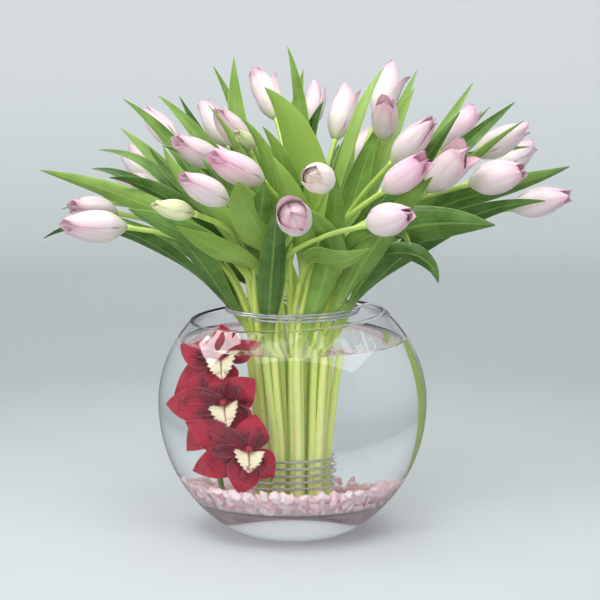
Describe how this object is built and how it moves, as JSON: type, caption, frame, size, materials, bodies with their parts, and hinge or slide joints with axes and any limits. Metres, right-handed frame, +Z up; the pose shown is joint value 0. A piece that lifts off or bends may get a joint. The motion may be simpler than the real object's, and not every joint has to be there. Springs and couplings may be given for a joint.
{
  "type": "tulips in a vase",
  "caption": "Domed bouquet of pale pink tulips with long green leaves in a clear round glass vase of water, tied with silver wire over rose quartz chips, with crimson orchids under water.",
  "frame": {"origin": "centre of the vase's flat base, where it rests", "axes": "+Z up along the vase's axis, -Y towards the front, where the orchids show, +X to the viewer's right"},
  "size_m": [0.4827, 0.4062, 0.4501],
  "materials": {
    "vase_glass": "polished",
    "water": "polished",
    "rose_quartz": "gloss",
    "silver_wire": "gloss",
    "foliage": "satin",
    "tulip_blush": "satin",
    "tulip_pink": "satin",
    "tulip_cream": "satin",
    "tulip_bud": "satin",
    "orchid_crimson": "satin",
    "orchid_lip": "satin"
  },
  "bodies": {
    "root": {"vase": "vase_glass", "water": "water", "quartz_bed": "rose_quartz", "low_coil": "silver_wire", "rim_wire": "silver_wire", "sunken_leaf": "foliage", "orchid_spike": "foliage", "orchid_petals_1": "orchid_crimson", "orchid_lip_1": "orchid_lip", "orchid_petals_2": "orchid_crimson", "orchid_lip_2": "orchid_lip", "orchid_petals_3": "orchid_crimson", "orchid_lip_3": "orchid_lip", "bloom_01": "tulip_blush", "bloom_02": "tulip_blush", "bloom_03": "tulip_bud", "bloom_04": "tulip_blush", "bloom_05": "tulip_blush", "bloom_06": "tulip_blush", "bloom_07": "tulip_blush", "bloom_08": "tulip_blush", "bloom_09": "tulip_blush", "bloom_10": "tulip_pink", "bloom_11": "tulip_blush", "bloom_12": "tulip_blush", "bloom_13": "tulip_blush", "bloom_14": "tulip_blush", "bloom_15": "tulip_blush", "bloom_16": "tulip_blush", "bloom_17": "tulip_blush", "bloom_18": "tulip_blush", "bloom_19": "tulip_pink", "bloom_20": "tulip_blush", "bloom_21": "tulip_blush", "bloom_22": "tulip_pink", "bloom_23": "tulip_blush", "bloom_24": "tulip_blush", "bloom_25": "tulip_blush", "bloom_26": "tulip_cream", "bloom_27": "tulip_blush", "bloom_28": "tulip_bud", "bloom_29": "tulip_blush", "bloom_30": "tulip_blush", "bloom_31": "tulip_blush", "bloom_32": "tulip_blush", "bloom_33": "tulip_blush", "bloom_34": "tulip_blush", "leafy_stems_01": "foliage", "leafy_stems_02": "foliage", "leafy_stems_03": "foliage", "leafy_stems_04": "foliage", "leafy_stems_05": "foliage", "leafy_stems_06": "foliage", "leafy_stems_07": "foliage", "leafy_stems_08": "foliage", "leafy_stems_09": "foliage", "leafy_stems_10": "foliage", "leafy_stems_11": "foliage", "leafy_stems_12": "foliage"}
  },
  "joints": []
}
